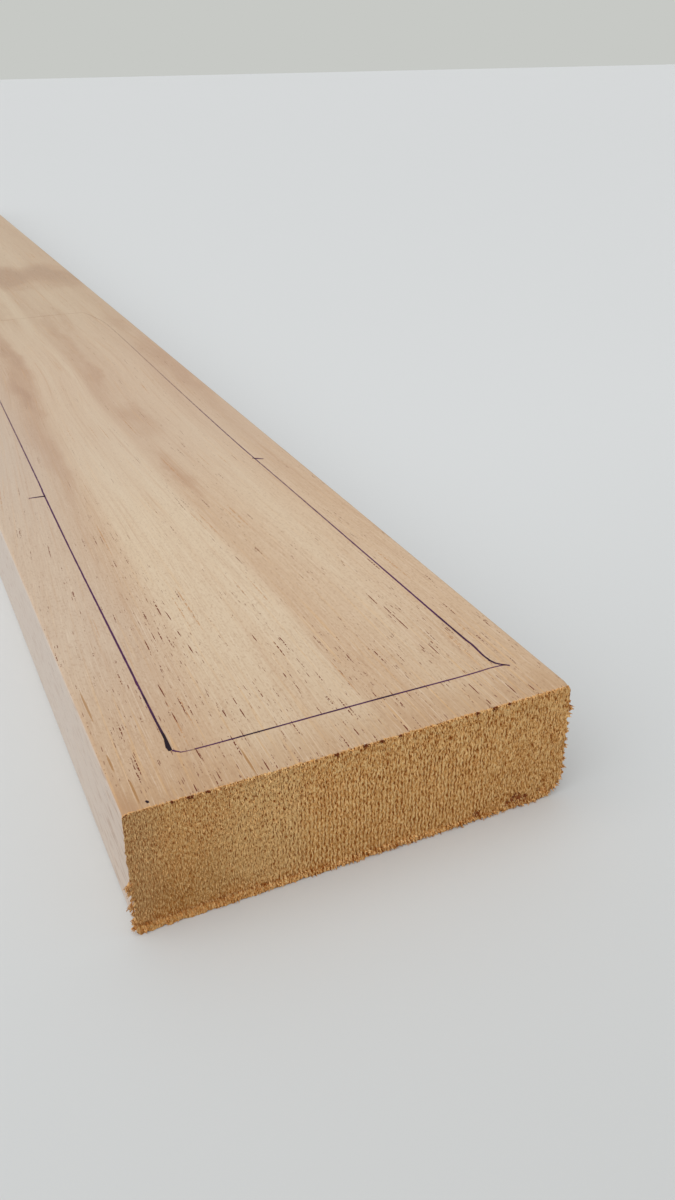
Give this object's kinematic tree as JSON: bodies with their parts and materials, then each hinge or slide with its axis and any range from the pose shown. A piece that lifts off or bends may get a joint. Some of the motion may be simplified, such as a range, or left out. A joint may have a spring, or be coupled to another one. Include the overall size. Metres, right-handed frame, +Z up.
{
  "type": "guitar neck blank",
  "caption": "Long flat cedar plank for shaping a guitar neck: planed faces, a rough-sawn end and a pen outline on its upper face.",
  "frame": {"origin": "middle of the underside, on the floor that the blank lies on", "axes": "+X along the grain towards the rough-sawn end, +Y towards the right-hand edge seen from above with the sawn end nearest, +Z up"},
  "size_m": [1, 0.1022, 0.03],
  "materials": {
    "cedar": "bare planed wood, matt, with a rough ochre-brown sawn end"
  },
  "bodies": {
    "root": {"neck_blank": "cedar"}
  },
  "joints": []
}
